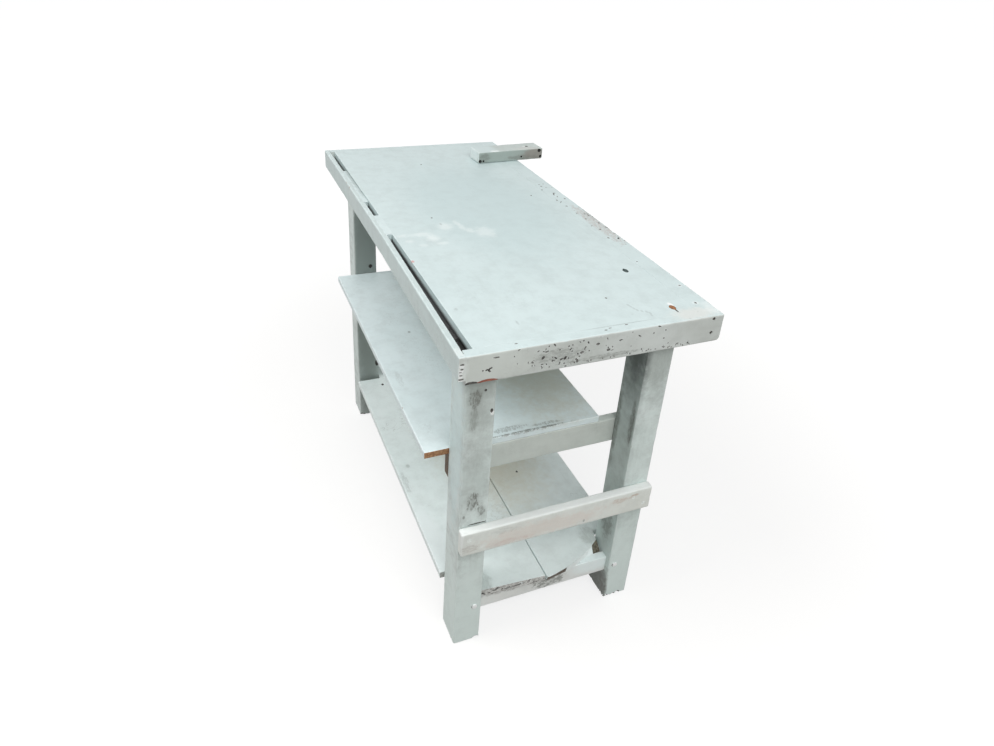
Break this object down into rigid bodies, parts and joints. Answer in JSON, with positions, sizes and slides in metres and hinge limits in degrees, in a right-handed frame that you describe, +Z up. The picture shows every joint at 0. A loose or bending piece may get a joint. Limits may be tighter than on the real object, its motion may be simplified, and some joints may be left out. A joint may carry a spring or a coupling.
{
  "type": "workbench",
  "caption": "Painted wooden workbench with a flush worktop, a tool slot along the back, a planing stop at the front and two open shelves between square legs.",
  "frame": {"origin": "middle of the bounding box, at floor level", "axes": "+X runs along the bench towards the end with the planing stop, +Y towards the back edge with the tool slot, +Z up"},
  "size_m": [1.26, 0.6866, 0.8353],
  "materials": {
    "top_paint": "pale blue-green household paint, worn smooth, chipped to bare wood at the front seam",
    "frame_paint": "pale green household paint over timber, scuffed and pitted, worn through at the edges",
    "shelf_paint": "pale green household paint on sawn boards, rough bare end grain",
    "worn_paint": "pale paint rubbed thin to a beige undercoat, with a rust smear",
    "peg_wood": "peg ends cut flush, thinly painted",
    "steel": "dull wire nails and wood screws"
  },
  "bodies": {
    "root": {"top_panel": "top_paint", "front_rail": "frame_paint", "near_end_board": "frame_paint", "far_end_board": "frame_paint", "slot_batten": "frame_paint", "slot_spacer_flush": "top_paint", "slot_spacer_sunk_short": "top_paint", "slot_spacer_sunk_long": "top_paint", "near_bearer": "frame_paint", "far_bearer": "frame_paint", "slot_rail": "frame_paint", "planing_stop": "frame_paint", "stop_screw_outer": "steel", "stop_screw_inner": "steel", "leg_near_back": "frame_paint", "leg_near_front": "frame_paint", "leg_far_back": "frame_paint", "leg_far_front": "frame_paint", "lower_rail_near": "frame_paint", "lower_rail_far": "frame_paint", "peg_near_back": "peg_wood", "peg_near_front": "peg_wood", "peg_far_back": "peg_wood", "peg_far_front": "peg_wood", "mid_rail_near": "frame_paint", "mid_rail_far": "frame_paint", "mid_rail_near_nail_back_a": "steel", "mid_rail_near_nail_back_b": "steel", "mid_rail_near_nail_front_a": "steel", "mid_rail_near_nail_front_b": "steel", "mid_rail_far_nail_back_a": "steel", "mid_rail_far_nail_back_b": "steel", "mid_rail_far_nail_front_a": "steel", "mid_rail_far_nail_front_b": "steel", "near_stretcher": "worn_paint", "near_stretcher_nail_back_a": "steel", "near_stretcher_nail_back_b": "steel", "near_stretcher_nail_front_a": "steel", "near_stretcher_nail_front_b": "steel", "near_end_nail_upper": "steel", "near_end_nail_lower": "steel", "far_end_nail_upper": "steel", "far_end_nail_lower": "steel", "mid_shelf_board": "shelf_paint", "lower_back_board": "shelf_paint", "lower_front_board": "shelf_paint"}
  },
  "joints": []
}
